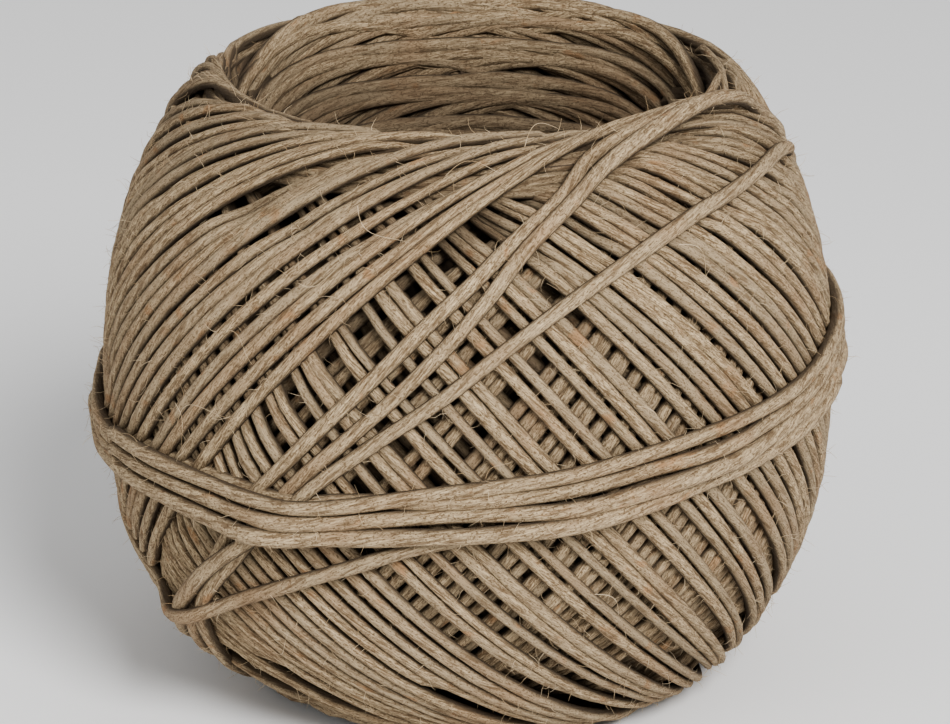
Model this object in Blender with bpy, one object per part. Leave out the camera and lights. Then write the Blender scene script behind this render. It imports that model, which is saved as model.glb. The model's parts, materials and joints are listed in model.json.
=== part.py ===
"""Centre-pull ball of hemp twine, cross-wound round an open bore, as one closed solid.

The ball stands on a flat ring, bore upright. Its outside carries the main twists of the
winding: on one half the turns that rise to the right lie on top, on the other half the
turns that fall to the right do, as a winding that creeps round the ball leaves them.
Where the upper turns part, the lower ones cross beneath. Waist wraps stand proud of the
cross winding, and the bore is walled by level bundles in steps.
"""
import math
from collections import namedtuple

import bmesh
import bpy

# Main sizes in millimetres
MM = 0.001
STRAND = 1.7
EQUATOR_RADIUS = 40.0
RIM_RADIUS = 27.0
TOP_RISE = 35.5
BASE_DROP = 33.0
BASE_RADIUS = 24.0
BASE_FLAT = 4.5

# Roundness of each half of the outer face: power of its swell, power of its rise
TOP_ROUND = (1.5, 0.9)
BASE_ROUND = (1.4, 0.86)

# Winding
TURN_RADIUS = 28.0
COLUMNS = 68
SMALLEST_STEP = 1.15
LAST_TURN_DEG = 228.0
UPPER_DIP = 1.05
LOWER_DIP = 1.95
RELIEF_FADE = 5.0

# Waist wraps
WRAPS = 4
WRAP_LOWEST = -3.8
WRAP_RISE = 1.35
WRAP_VALLEY = 0.7
WRAP_EDGE = 0.3
WRAP_SLOPE_RIGHT = 0.144
WRAP_SLOPE_BACK = 0.02

# Bore wall from the upper rim down to the waist of the bore, columns depth and radius
BORE_WALL = (
    (0.8, 24.7),
    (2.4, 23.7),
    (4.6, 23.6),
    (6.1, 24.9),
    (7.5, 22.6),
    (9.7, 22.1),
    (11.2, 23.3),
    (12.6, 20.7),
    (15.0, 20.1),
    (16.5, 21.2),
    (18.0, 18.9),
    (21.5, 18.0),
    (27.0, 16.6),
    (35.5, 15.8),
)
# Bore wall from the resting ring up to the waist of the bore, with the same columns
LOWER_BORE_WALL = (
    (0.9, 18.5),
    (3.0, 17.8),
    (5.6, 17.9),
    (7.2, 18.7),
    (8.8, 17.0),
    (11.6, 16.8),
    (13.4, 17.5),
    (15.2, 16.3),
    (19.0, 16.1),
    (25.0, 15.9),
)
BORE_SLOPE = 0.055

# One row of the lattice: its lay counts rows from the equator along a turn of twine
Row = namedtuple("Row", ("radius", "height", "kind", "lay", "rise"))

TWINE_COLOUR = (0.305, 0.235, 0.165, 1.0)
TWINE_ROUGHNESS = 0.88


def smooth(value):
    """Ease a value between nought and one."""
    value = min(max(value, 0.0), 1.0)
    return value * value * (3.0 - 2.0 * value)


def outer_point(turn, rise, rim, powers):
    """Radius and height over the equator on the outer face, turn 0 at the equator, 1 at the rim."""
    angle = turn * math.pi / 2.0
    radius = rim + (EQUATOR_RADIUS - rim) * max(math.cos(angle), 0.0) ** powers[0]
    height = rise * math.sin(angle) ** powers[1]
    return radius, height


def row_step(radius):
    """Spacing of rows that lets one column per row follow a tight turn of twine."""
    half_column = math.pi / COLUMNS
    steepness = math.sqrt(max((radius / TURN_RADIUS) ** 2 - 1.0, 0.0))
    return max(half_column * radius * steepness, SMALLEST_STEP)


def half_profile(rise, rim, powers):
    """Points from the equator to the rim, stepped so that the lattice follows the turns."""
    fine = [outer_point(index / 4000.0, rise, rim, powers) for index in range(4001)]
    travelled = [0.0]
    for before, after in zip(fine, fine[1:]):
        travelled.append(travelled[-1] + math.dist(before, after))
    stops = [0.0]
    while stops[-1] < travelled[-1]:
        spot = min(range(len(travelled)), key=lambda k: abs(travelled[k] - stops[-1]))
        stops.append(stops[-1] + row_step(fine[spot][0]))
    scale = travelled[-1] / stops[-1]
    points = []
    place = 0
    for stop in stops:
        while place < len(travelled) - 1 and travelled[place] < stop * scale:
            place += 1
        points.append(fine[place])
    return points


def wrap_rows():
    """Rows of the waist wraps from the top one down: their foot, crests and valleys."""
    highest = WRAP_LOWEST + WRAPS * STRAND
    rows = [
        Row(EQUATOR_RADIUS, highest, "outer", 0, 0.0),
        Row(EQUATOR_RADIUS, highest - WRAP_EDGE, "outer", 0, WRAP_VALLEY),
    ]
    for wrap in range(WRAPS):
        crest = highest - (wrap + 0.5) * STRAND
        rows.append(Row(EQUATOR_RADIUS, crest, "outer", 0, WRAP_RISE))
        if wrap < WRAPS - 1:
            rows.append(Row(EQUATOR_RADIUS, crest - STRAND / 2.0, "outer", 0, WRAP_VALLEY))
    rows.append(Row(EQUATOR_RADIUS, WRAP_LOWEST + WRAP_EDGE, "outer", 0, WRAP_VALLEY))
    rows.append(Row(EQUATOR_RADIUS, WRAP_LOWEST, "outer", 0, 0.0))
    return rows


def profile_rows():
    """Rows of the whole closed section from the upper rim down outside and up the bore."""
    upper = half_profile(TOP_RISE, RIM_RADIUS, TOP_ROUND)
    lower = half_profile(BASE_DROP, BASE_RADIUS, BASE_ROUND)
    clear = SMALLEST_STEP / 2.0
    rows = []
    for lay in range(len(upper) - 1, 0, -1):
        radius, height = upper[lay]
        if height > WRAP_LOWEST + WRAPS * STRAND + clear:
            rows.append(Row(radius, height, "outer", -lay, 0.0))
    rows += wrap_rows()
    for lay in range(1, len(lower)):
        radius, height = lower[lay]
        if height > clear - WRAP_LOWEST:
            rows.append(Row(radius, -height, "outer", lay, 0.0))
    rows.append(Row(BASE_RADIUS - BASE_FLAT, -BASE_DROP, "flat", 0, 0.0))
    for depth, radius in LOWER_BORE_WALL:
        rows.append(Row(radius, depth - BASE_DROP, "bore", 0, 0.0))
    for depth, radius in reversed(BORE_WALL):
        rows.append(Row(radius, TOP_RISE - depth, "bore", 0, 0.0))
    if len(rows) % 2:
        rows.append(halfway(rows[-1], rows[0]))
    return rows


def halfway(first, second):
    """Row halfway between the last row of the bore and the upper rim."""
    radius = (first.radius * 2.0 + second.radius) / 3.0
    height = (first.height + second.height * 2.0) / 3.0
    return Row(radius, height, "bore", 0, 0.0)


def wound_last(rising_node, falling_node):
    """True where the rising turn was laid after the falling one that crosses it."""
    rising_time = (rising_node - LAST_TURN_DEG) % 360.0
    falling_time = (falling_node - 180.0 - LAST_TURN_DEG) % 360.0
    return rising_time > falling_time


def dip(column, row, entry):
    """Depth of the cross winding's relief at one point of the lattice."""
    half_column = 180.0 / COLUMNS
    offset = entry.lay + (row - entry.lay) % 2
    rising = (column + offset) // 2
    falling = (column - offset) // 2
    rising_node = (column + offset) * half_column
    falling_node = (column - offset) * half_column
    if wound_last(rising_node, falling_node):
        top, under = rising, falling
    else:
        top, under = falling, rising
    if top % 2 == 0:
        depth = 0.0
    elif under % 2 == 0:
        depth = UPPER_DIP
    else:
        depth = LOWER_DIP
    rim = TOP_RISE if entry.height > 0.0 else BASE_DROP
    return depth * smooth((rim - abs(entry.height)) / RELIEF_FADE)


def place(entry, column, row):
    """One point of the ball, millimetres from the middle of the equator."""
    angle = math.radians(column * 180.0 / COLUMNS)
    across = math.cos(angle)
    back = math.sin(angle)
    radius = entry.radius
    height = entry.height
    rim = TOP_RISE if height > 0.0 else BASE_DROP
    ease = smooth((rim - abs(height)) / rim * 1.4)
    if entry.kind == "outer":
        if entry.lay == 0:
            radius += entry.rise
        else:
            radius -= dip(column, row, entry)
        lean = WRAP_SLOPE_RIGHT * across + WRAP_SLOPE_BACK * back
        height += EQUATOR_RADIUS * lean * ease
    elif entry.kind == "bore":
        height += radius * BORE_SLOPE * (back - across) * ease
    return radius * across, radius * back, height


def twine_material(name, colour, roughness):
    """Matt natural fibre."""
    material = bpy.data.materials.new(name)
    material.use_nodes = True
    shader = material.node_tree.nodes["Principled BSDF"]
    shader.inputs["Base Color"].default_value = colour
    shader.inputs["Roughness"].default_value = roughness
    shader.inputs["Metallic"].default_value = 0.0
    material.diffuse_color = colour
    return material


def build_ball(name):
    """The wound ball as one closed mesh with its origin at the bottom centre."""
    mesh = bmesh.new()
    rings = []
    for row, entry in enumerate(profile_rows()):
        ring = []
        for step in range(COLUMNS):
            right, back, height = place(entry, 2 * step + row % 2, row)
            lifted = (right * MM, back * MM, (height + BASE_DROP) * MM)
            ring.append(mesh.verts.new(lifted))
        rings.append(ring)
    for row, ring in enumerate(rings):
        below = rings[(row + 1) % len(rings)]
        for step in range(COLUMNS):
            after = (step + 1) % COLUMNS
            if row % 2 == 0:
                mesh.faces.new((ring[step], below[step], ring[after]))
                mesh.faces.new((ring[after], below[step], below[after]))
            else:
                mesh.faces.new((ring[step], below[step], below[after]))
                mesh.faces.new((ring[step], below[after], ring[after]))
    bmesh.ops.recalc_face_normals(mesh, faces=mesh.faces)
    data = bpy.data.meshes.new(name)
    mesh.to_mesh(data)
    mesh.free()
    ball = bpy.data.objects.new(name, data)
    bpy.context.scene.collection.objects.link(ball)
    data.materials.append(twine_material("hemp_twine", TWINE_COLOUR, TWINE_ROUGHNESS))
    return ball


for old in list(bpy.data.objects):
    bpy.data.objects.remove(old, do_unlink=True)

build_ball("twine_ball")
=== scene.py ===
"""Looks of the hemp twine ball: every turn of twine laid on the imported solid's form.

The turns are wound in order, one over the other, by a small winding model that keeps the
height of what is already on the ball and pulls each new turn taut over it.
"""

import json
import math

import bmesh
import bpy
import numpy as np
from bpy.props import FloatProperty, FloatVectorProperty, PointerProperty
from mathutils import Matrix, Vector

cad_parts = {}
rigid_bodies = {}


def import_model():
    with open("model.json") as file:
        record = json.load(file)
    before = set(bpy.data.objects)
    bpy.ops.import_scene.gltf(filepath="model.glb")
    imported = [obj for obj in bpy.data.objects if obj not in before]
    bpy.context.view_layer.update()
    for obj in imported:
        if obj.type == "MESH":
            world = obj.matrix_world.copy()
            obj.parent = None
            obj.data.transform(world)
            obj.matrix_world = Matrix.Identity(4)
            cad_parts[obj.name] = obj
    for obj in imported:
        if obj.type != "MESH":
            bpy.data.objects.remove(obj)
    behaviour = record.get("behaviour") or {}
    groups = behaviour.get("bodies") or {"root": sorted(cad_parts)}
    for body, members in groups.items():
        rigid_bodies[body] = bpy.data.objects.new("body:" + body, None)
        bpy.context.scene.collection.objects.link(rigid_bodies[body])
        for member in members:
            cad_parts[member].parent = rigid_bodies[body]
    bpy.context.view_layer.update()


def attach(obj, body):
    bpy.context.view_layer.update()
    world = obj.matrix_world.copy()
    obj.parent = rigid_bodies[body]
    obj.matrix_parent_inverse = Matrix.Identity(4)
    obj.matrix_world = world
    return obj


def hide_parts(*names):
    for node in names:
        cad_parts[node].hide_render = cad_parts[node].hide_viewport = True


bl_info = {
    "name": "Hemp Twine Ball",
    "version": (1, 0, 0),
    "blender": (4, 5, 0),
    "location": "View3D > Sidebar > Twine",
    "description": "Winds a ball of hemp twine turn by turn and finishes its fibres",
    "category": "Object",
}

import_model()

MM = 0.001

# Form of the ball in millimetres, the same as the solid's
EQUATOR_RADIUS = 40.0
RIM_RADIUS = 27.0
TOP_RISE = 35.5
BASE_DROP = 33.0
BASE_RADIUS = 24.0
BASE_FLAT = 4.5
TOP_ROUND = (1.5, 0.9)
BASE_ROUND = (1.4, 0.86)

STRAND_RADIUS = 0.72

# Outer cross turns are shared out over this many pieces, fuzz in fibres per square metre
CROSS_PIECES = 7
FUZZ_DENSITY = 0.2e6

# Baking sheet: space between runs of twine in metres, and beside each strip in millimetres
REEL_GAP = 0.004
STRIP_MARGIN = 3.0

# Bore wall below the upper rim: depth, radius
UPPER_BORE = (
    (0.7, 25.3),
    (2.4, 24.2),
    (5.0, 23.7),
    (10.0, 22.3),
    (15.0, 20.7),
    (20.0, 18.9),
    (27.0, 17.0),
    (35.5, 15.9),
)
# Bore wall above the resting ring: rise, radius
LOWER_BORE = (
    (0.9, 18.7),
    (3.0, 18.0),
    (7.0, 17.8),
    (12.0, 17.1),
    (18.0, 16.4),
    (25.0, 16.0),
)

# Cross winding, by the direction in degrees at which a rising turn crosses the equator:
# start of the stretch, spacing of turns, how much they gather in twos and threes
FIRST_TURN = -487.0
LAST_TURN = 227.0
CROSS_LAYS = (
    (-487.0, 3.6, 0.12),
    (-133.0, 5.0, 0.46),
    (-96.0, 3.3, 0.10),
    (20.0, 3.7, 0.12),
    (62.0, 4.0, 0.42),
    (82.0, 4.2, 0.46),
    (128.0, 3.5, 0.16),
    (148.0, 3.6, 0.06),
    (206.0, 3.9, 0.22),
    (221.0, 3.4, 0.05),
)
# How far past the crest of the upper rim turns reach, by the same direction
RIM_REACH = (
    (-487.0, 0.0),
    (96.0, 0.0),
    (108.0, 3.4),
    (126.0, 3.4),
    (138.0, 0.6),
    (227.0, 0.0),
)
# Swing of gathered turns about even spacing, in the order laid, and the chance in each
GATHER_BEAT = (-1.0, 1.0, -0.6, -0.7, 1.3)
SPACING_CHANCE = 0.16
# Turns laid within this many degrees of the last one are the outer ones
OUTER_SWEEP = 375.0

# Lean of a turn against the equator in radians, and samples along one
LEAN = 0.70
TURN_SAMPLES = 720

# The freshest turns slip down beside the next ones, this far up and down from the equator
SLIP_TURNS = 9
SLIP_REACH = 25.0

# Share of the way to each rim that turns reach, and how that varies in millimetres
TOP_TURN = 0.975
BASE_TURN = 0.975
GOLDEN_SHARE = 0.6180339887
TOP_SCATTER = 2.2
LATE_CALM = 1.4
EARLY_SHORT = 0.9
LATE_TURNS = (90.0, 110.0)
BASE_WAVES = ((0.3, 0.9), (0.3, 0.37))
RIM_CHANCE = 0.25

# Depth of the twine that the turns are laid on, and how much less it is at the rims
FIRST_BED = 5.6
FIRST_BED_EASE = 1.2
# Every few turns tension presses the pile back to a level that rises to nought
BED_EVERY = 3
BED_DEPTH = 3.0

# Form that the outer face is brought to, as heights over the solid's face
OUTER_LIFT = -0.55
RIM_RAISE = 0.35
BASE_SINK = 0.4
BASE_SWAY = 1.5
SETTLE_BELOW = 7.0
SETTLE_ABOVE = 6.0
SETTLE_REACHES = (14, 6)
LEVEL_HEIGHT = -1.15
LEVEL_KEPT = 0.35
LEVEL_DROPS = (0.45, 1.2)

# Strands deeper than this are hidden and left out
SEEN_DEPTH = -6.8
# How far along its pattern a strand starts, for its tone
LAY_SHIFT = 700.0
# A height that no strand reaches
UNBOUND = 99.0

# Loose turns laid over the cross winding: direction in degrees, distance up from the equator
PAIR_UPPER = (
    (409.0, -8.0),
    (397.0, 2.0),
    (382.0, 13.0),
    (366.0, 25.0),
    (351.0, 33.0),
    (336.0, 36.5),
    (321.0, 38.0),
    (306.0, 37.0),
    (295.0, 35.0),
    (286.5, 30.5),
    (278.0, 26.5),
    (270.5, 22.0),
    (264.0, 18.0),
    (257.0, 13.0),
    (250.0, 8.0),
    (242.0, 2.0),
    (236.0, -2.5),
    (230.0, -9.0),
    (224.0, -14.5),
    (218.0, -20.0),
    (212.0, -25.5),
    (204.0, -31.0),
    (194.0, -37.0),
    (183.0, -42.0),
    (172.0, -47.0),
    (160.0, -52.0),
)
PAIR_LOWER = (
    (419.0, -10.0),
    (407.0, 0.0),
    (392.0, 11.0),
    (374.0, 22.5),
    (356.0, 31.0),
    (342.0, 35.0),
    (326.0, 37.0),
    (309.5, 36.0),
    (297.0, 33.5),
    (288.5, 30.0),
    (279.5, 25.5),
    (273.0, 20.5),
    (267.0, 16.0),
    (260.0, 11.0),
    (252.5, 6.0),
    (245.0, 1.0),
    (240.0, -3.0),
    (234.0, -8.5),
    (227.0, -14.0),
    (222.0, -19.0),
    (218.0, -25.0),
    (212.0, -31.0),
    (203.0, -36.5),
    (193.0, -41.5),
    (182.0, -46.5),
    (170.0, -52.0),
)
SINGLE = (
    (76.0, -14.0),
    (63.0, -5.0),
    (49.0, 4.0),
    (34.0, 13.0),
    (18.0, 20.0),
    (2.0, 25.5),
    (-14.0, 28.5),
    (-26.5, 28.5),
    (-40.0, 27.5),
    (-49.5, 26.5),
    (-59.0, 24.5),
    (-68.0, 22.0),
    (-76.5, 19.0),
    (-85.5, 15.0),
    (-94.0, 10.5),
    (-103.0, 6.0),
    (-112.0, 1.0),
    (-119.0, -4.0),
    (-130.0, -10.0),
    (-140.0, -16.5),
    (-149.0, -22.5),
    (-160.0, -28.5),
    (-172.0, -34.0),
    (-184.0, -39.5),
    (-196.0, -45.0),
    (-208.0, -51.0),
)
STRAY = (
    (312.0, 2.0),
    (300.0, 0.5),
    (288.0, -1.5),
    (278.0, -2.8),
    (269.0, -3.9),
    (261.0, -5.4),
    (254.0, -7.4),
    (247.0, -9.5),
    (239.0, -12.0),
    (230.0, -15.0),
    (221.0, -17.5),
    (213.0, -18.5),
    (204.0, -18.0),
    (194.0, -15.0),
    (183.0, -10.0),
    (170.0, -4.0),
    (156.0, 2.0),
)

# Waist wraps: direction in degrees, then height over the belt's plane of each of four wraps
WRAP_ROWS = (
    (180.0, 0.8, 2.4, 4.0, 4.0),
    (203.0, 0.6, 2.4, 4.1, 4.1),
    (216.0, 0.1, 2.0, 3.8, 3.8),
    (229.0, -0.4, 1.4, 3.1, 3.1),
    (240.0, -1.1, 0.6, 2.3, 2.3),
    (251.0, -1.6, 0.1, 1.8, 1.8),
    (265.0, -2.0, -0.2, 1.2, 2.1),
    (275.0, -2.5, -0.9, 0.6, 2.0),
    (285.0, -3.1, -1.5, 0.1, 1.7),
    (300.0, -3.2, -1.6, 0.0, 1.7),
    (315.0, -3.6, -2.0, -0.3, 1.3),
    (330.0, -3.7, -2.1, -0.5, 1.1),
    (345.0, -3.0, -1.4, 0.2, 1.8),
    (360.0, -2.2, -0.6, 1.0, 2.6),
)
# Lead in under the first wrap and out past the last: direction, height over the belt's plane
WRAP_LEAD = ((-20.0, -2.6), (60.0, -1.4), (120.0, -0.4))
WRAP_TAIL = ((1480.0, 4.2), (1520.0, 4.0))
# Directions, counted on round the wraps, between which the third wrap is drawn in under the last
HIDDEN_WRAP = (870.0, 972.0)
HIDDEN_EASE = 15.0
HIDDEN_DEPTH = 1.7
# Rise of the belt's plane to the right and to the back, for each millimetre
WRAP_SLOPE_RIGHT = 0.144
WRAP_SLOPE_BACK = 0.02
# How far wraps may stand off what they bear on
WRAP_STANDOFF = 0.9

# Thickness of wraps and loose turns against the rest, and what the first wrap has on top
WRAP_THICK = 1.17
FIRST_WRAP_EXTRA = 0.12
LOOSE_THICK = 1.1
# How far loose turns may stand off what they bear on: least, more in front, share lost low down
LOOSE_LEAST = 0.05
LOOSE_FRONT = 0.85
LOOSE_LOW = 0.8
# Over what length and how deep the ends of strands and of hidden coils are tucked in
END_TUCK = (16.0, 4.4)
COIL_TUCK = (40.0, 2.5)
# How deep loose turns are drawn in behind the ball's shoulder, and the stray one at its left end
BEHIND_DEPTH = 2.2
STRAY_DEPTH = 0.9

# Bundles of the bore wall: depth under the rim, first and last direction of their middles,
# half their reach in degrees, how far the ends sink, how proud the bundle stands, count
BORE_BUNDLES = (
    (29.0, 0.0, 360.0, 48.0, 0.30, -1.2, 14),
    (27.0, 0.0, 360.0, 48.0, 0.30, -1.2, 14),
    (25.0, 0.0, 360.0, 48.0, 0.30, -1.2, 14),
    (23.0, 0.0, 360.0, 48.0, 0.30, -1.2, 15),
    (21.0, 0.0, 360.0, 48.0, 0.30, -1.2, 15),
    (19.0, 0.0, 360.0, 48.0, 0.30, -1.4, 15),
    (17.0, 0.0, 360.0, 46.0, 0.35, -1.6, 16),
    (15.0, 0.0, 360.0, 46.0, 0.35, -2.4, 16),
    (13.0, 0.0, 360.0, 46.0, 0.35, -3.3, 17),
    (11.0, 0.0, 360.0, 46.0, 0.35, -3.3, 17),
    (9.0, 0.0, 360.0, 46.0, 0.35, -3.3, 18),
    (7.0, 0.0, 360.0, 46.0, 0.35, -3.3, 18),
    (5.0, 0.0, 360.0, 44.0, 0.35, -3.3, 18),
    (16.3, 56.0, 122.0, 56.0, 0.45, -0.6, 6),
    (14.7, 56.0, 122.0, 56.0, 0.45, -0.6, 6),
    (11.6, 56.0, 124.0, 56.0, 0.45, -0.2, 7),
    (10.1, 56.0, 124.0, 56.0, 0.45, -0.2, 7),
    (7.4, 54.0, 126.0, 56.0, 0.45, 0.0, 7),
    (6.0, 54.0, 126.0, 56.0, 0.45, 0.0, 7),
    (3.3, 52.0, 128.0, 54.0, 0.45, 0.2, 8),
    (1.6, 52.0, 128.0, 54.0, 0.45, 0.4, 8),
)
# Depth of an arc's ends for their distance off the wall, the floor they are laid on, and what
# is left to chance in their turn, depth and slope
BORE_DIVE = 0.27
BORE_FLOOR = -2.6
ARC_STAGGER = 7.0
ARC_TURN_CHANCE = 3.0
ARC_DEPTH_CHANCE = 0.24
ARC_SLOPE_CHANCE = 0.006
ARC_REACH = (0.85, 1.1)
ARC_HIGHEST = 0.5

# Coils behind the arcs: spacing, height over the wall in the upper and lower half, and how far
# before the crest of the rim they start
LINING_PITCH = 1.5
LINING_UPPER_LIFT = -2.9
LINING_LOWER_LIFT = -0.9
LINING_START = 8.5

# Longer fibres that stand away: direction in degrees, distance up from the equator, heading in
# degrees from level, length, bow sideways, rise off the ball
LONG_FIBRES = (
    (222.0, 3.3, 28.0, 8.5, 1.6, 0.6),
    (221.5, 5.8, -60.0, 5.0, 1.2, 0.8),
    (251.0, 29.4, -38.0, 6.5, -1.0, 0.7),
    (231.5, 15.0, -30.0, 4.5, 0.8, 0.9),
    (272.5, 2.6, 42.0, 3.2, 0.6, 0.7),
    (259.0, -4.3, -14.0, 6.0, 0.9, 0.8),
    (295.0, 8.8, -40.0, 3.5, 0.5, 0.8),
    (289.0, -11.0, -36.0, 4.0, 0.8, 0.7),
    (243.0, 21.0, 20.0, 5.0, -0.8, 1.0),
    (266.0, 33.0, 8.0, 5.5, 0.9, 1.0),
    (306.0, 24.0, -50.0, 4.2, 0.8, 0.9),
    (236.0, -20.0, 35.0, 4.5, -0.9, 0.9),
    (212.0, -3.0, 60.0, 4.0, 0.8, 1.2),
    (281.0, 36.0, 30.0, 4.0, 0.8, 1.4),
)
LONG_FIBRE_RADIUS = 0.035

# Body behind the turns: depth under the solid's face, how much less at the rims, its lattice
CORE_DEPTH = 6.2
CORE_EASE = 1.4
CORE_ROWS = 150
CORE_COLUMNS = 96
# Painted shade: the body behind the turns is coloured near black for the shade deep between them.
CORE_SHADE_COLOURS = ((0.045, 0.030, 0.019, 1.0), (0.100, 0.070, 0.045, 1.0))
# Colours of the short and long loose fibres.
FIBRE_COLOURS = ((0.42, 0.30, 0.17, 1.0), (0.62, 0.50, 0.34, 1.0))

# Seeds of what is left to chance, in spacing, paths, thickness and height
SEED_SPACING = 11
SEED_CROSS = 5
SEED_BORE = 23
SEED_CROSS_PATH = 100
SEED_CROSS_THICK = 3000
SEED_CROSS_LIFT = 7000
SEED_LINING = 8000
SEED_ARCS = 9000
SEED_LOOSE = 12000
SEED_WRAPS = 15000

# Stage: floor, world, and lights by place, size and power
FLOOR_HALF = 3.0
FLOOR_COLOUR = (0.86, 0.86, 0.86, 1.0)
WORLD_STRENGTH = 0.50
LIGHT_AIM = (0.0, 0.0, 0.035)
LIGHTS = (
    ("key", (0.32, -0.72, 0.60), 0.40, 11.2),
    ("fill", (-0.70, -0.50, 0.40), 0.60, 1.4),
)

# Camera: width of the photograph and its scale at the ball, and how far the ball's middle
# stands left of and below the picture's middle, in pixels
PHOTO_WIDTH_PX = 950.0
PIXELS_PER_METRE = 9190.0
AIM_RIGHT_PX = 7.0
AIM_UP_PX = 10.0
CAMERA_TILT_DEG = 19.0
CAMERA_REACH = 0.450
SENSOR_MM = 36.0


def blend_between(value, low, high):
    """Nought below low, one above high, eased between."""
    share = np.clip((value - low) / (high - low), 0.0, 1.0)
    return share * share * (3.0 - 2.0 * share)


def wander(length, spacing, reach, seed):
    """Smooth aimless values along a strand: one every spacing samples, eased between."""
    chance = np.random.default_rng(seed)
    knots = chance.normal(0.0, reach, int(length / spacing) + 4)
    place = np.arange(length) / spacing
    index = place.astype(int)
    share = place - index
    share = share * share * (3.0 - 2.0 * share)
    return knots[index] * (1.0 - share) + knots[index + 1] * share


def soften(values, reach):
    """Running mean over a reach of samples either side, twice."""
    if reach < 1:
        return values
    kernel = np.ones(2 * reach + 1) / (2 * reach + 1)
    for _ in range(2):
        padded = np.pad(values, reach, mode="edge")
        values = np.convolve(padded, kernel, mode="valid")
    return values


class Section:
    """Section of the ball by distance along it: nought at the equator, rising to the upper rim."""

    def __init__(self):
        angle = np.linspace(0.0, math.pi / 2.0, 1500)
        upper = self.half(angle, RIM_RADIUS, TOP_RISE, TOP_ROUND)
        lower = self.half(angle, BASE_RADIUS, -BASE_DROP, BASE_ROUND)
        bore_down = [(radius, TOP_RISE - depth) for depth, radius in UPPER_BORE]
        bore_up = [(radius, up - BASE_DROP) for up, radius in LOWER_BORE]
        start = [(15.9, 0.0)] + list(reversed(bore_up)) + [(BASE_RADIUS - BASE_FLAT, -BASE_DROP)]
        points = np.array(start + list(lower[::-1]) + list(upper[1:]) + bore_down)
        steps = np.hypot(*np.diff(points, axis=0).T)
        points = points[np.concatenate(([True], steps > 1e-6))]
        along = np.concatenate(([0.0], np.cumsum(np.hypot(*np.diff(points, axis=0).T))))
        fine = np.arange(0.0, along[-1], 0.05)
        radius = soften(np.interp(fine, along, points[:, 0]), 16)
        height = soften(np.interp(fine, along, points[:, 1]), 16)
        fine = np.concatenate(([0.0], np.cumsum(np.hypot(np.diff(radius), np.diff(height)))))
        equator = int(np.argmax(radius))
        self.along = fine - fine[equator]
        self.radius = radius
        self.height = height
        tangent_r = np.gradient(radius, fine)
        tangent_z = np.gradient(height, fine)
        size = np.hypot(tangent_r, tangent_z)
        self.out_r = tangent_z / size
        self.out_z = -tangent_r / size
        self.top = float(self.along[np.argmax(height)])
        flat = np.nonzero(height < height.min() + 0.02)[0]
        self.base = float(self.along[flat[-1]])

    @staticmethod
    def half(angle, rim, rise, powers):
        """Radius and height from the equator to a rim."""
        radius = rim + (EQUATOR_RADIUS - rim) * np.clip(np.cos(angle), 0.0, 1.0) ** powers[0]
        return np.column_stack((radius, rise * np.sin(angle) ** powers[1]))

    def at(self, distance, lift=0.0):
        """Radius and height of points that stand lift millimetres off the section."""
        radius = np.interp(distance, self.along, self.radius)
        height = np.interp(distance, self.along, self.height)
        out_r, out_z = self.outward(distance)
        return radius + out_r * lift, height + out_z * lift

    def outward(self, distance):
        """Outward direction as its share along the radius and its share upwards."""
        out_r = np.interp(distance, self.along, self.out_r)
        out_z = np.interp(distance, self.along, self.out_z)
        size = np.hypot(out_r, out_z) + 1e-9
        return out_r / size, out_z / size

    def points(self, turn, distance, lift):
        """Points in millimetres over the equator's middle, turn in radians."""
        radius, height = self.at(distance, lift)
        return np.column_stack((radius * np.cos(turn), radius * np.sin(turn), height))

    def normals(self, turn, distance):
        """Outward directions at points of the ball."""
        out_r, out_z = self.outward(distance)
        return np.column_stack((out_r * np.cos(turn), out_r * np.sin(turn), out_z))


SECTION = Section()


class Strand:
    """One stretch of twine: where it runs, how high it lies, how thick it is."""

    def __init__(self, turn, distance, lift, radius, tone, kind):
        self.turn = turn
        self.distance = distance
        self.lift = lift
        self.radius = radius
        self.tone = tone
        self.kind = kind
        self.wide = np.ones(len(turn))


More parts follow.
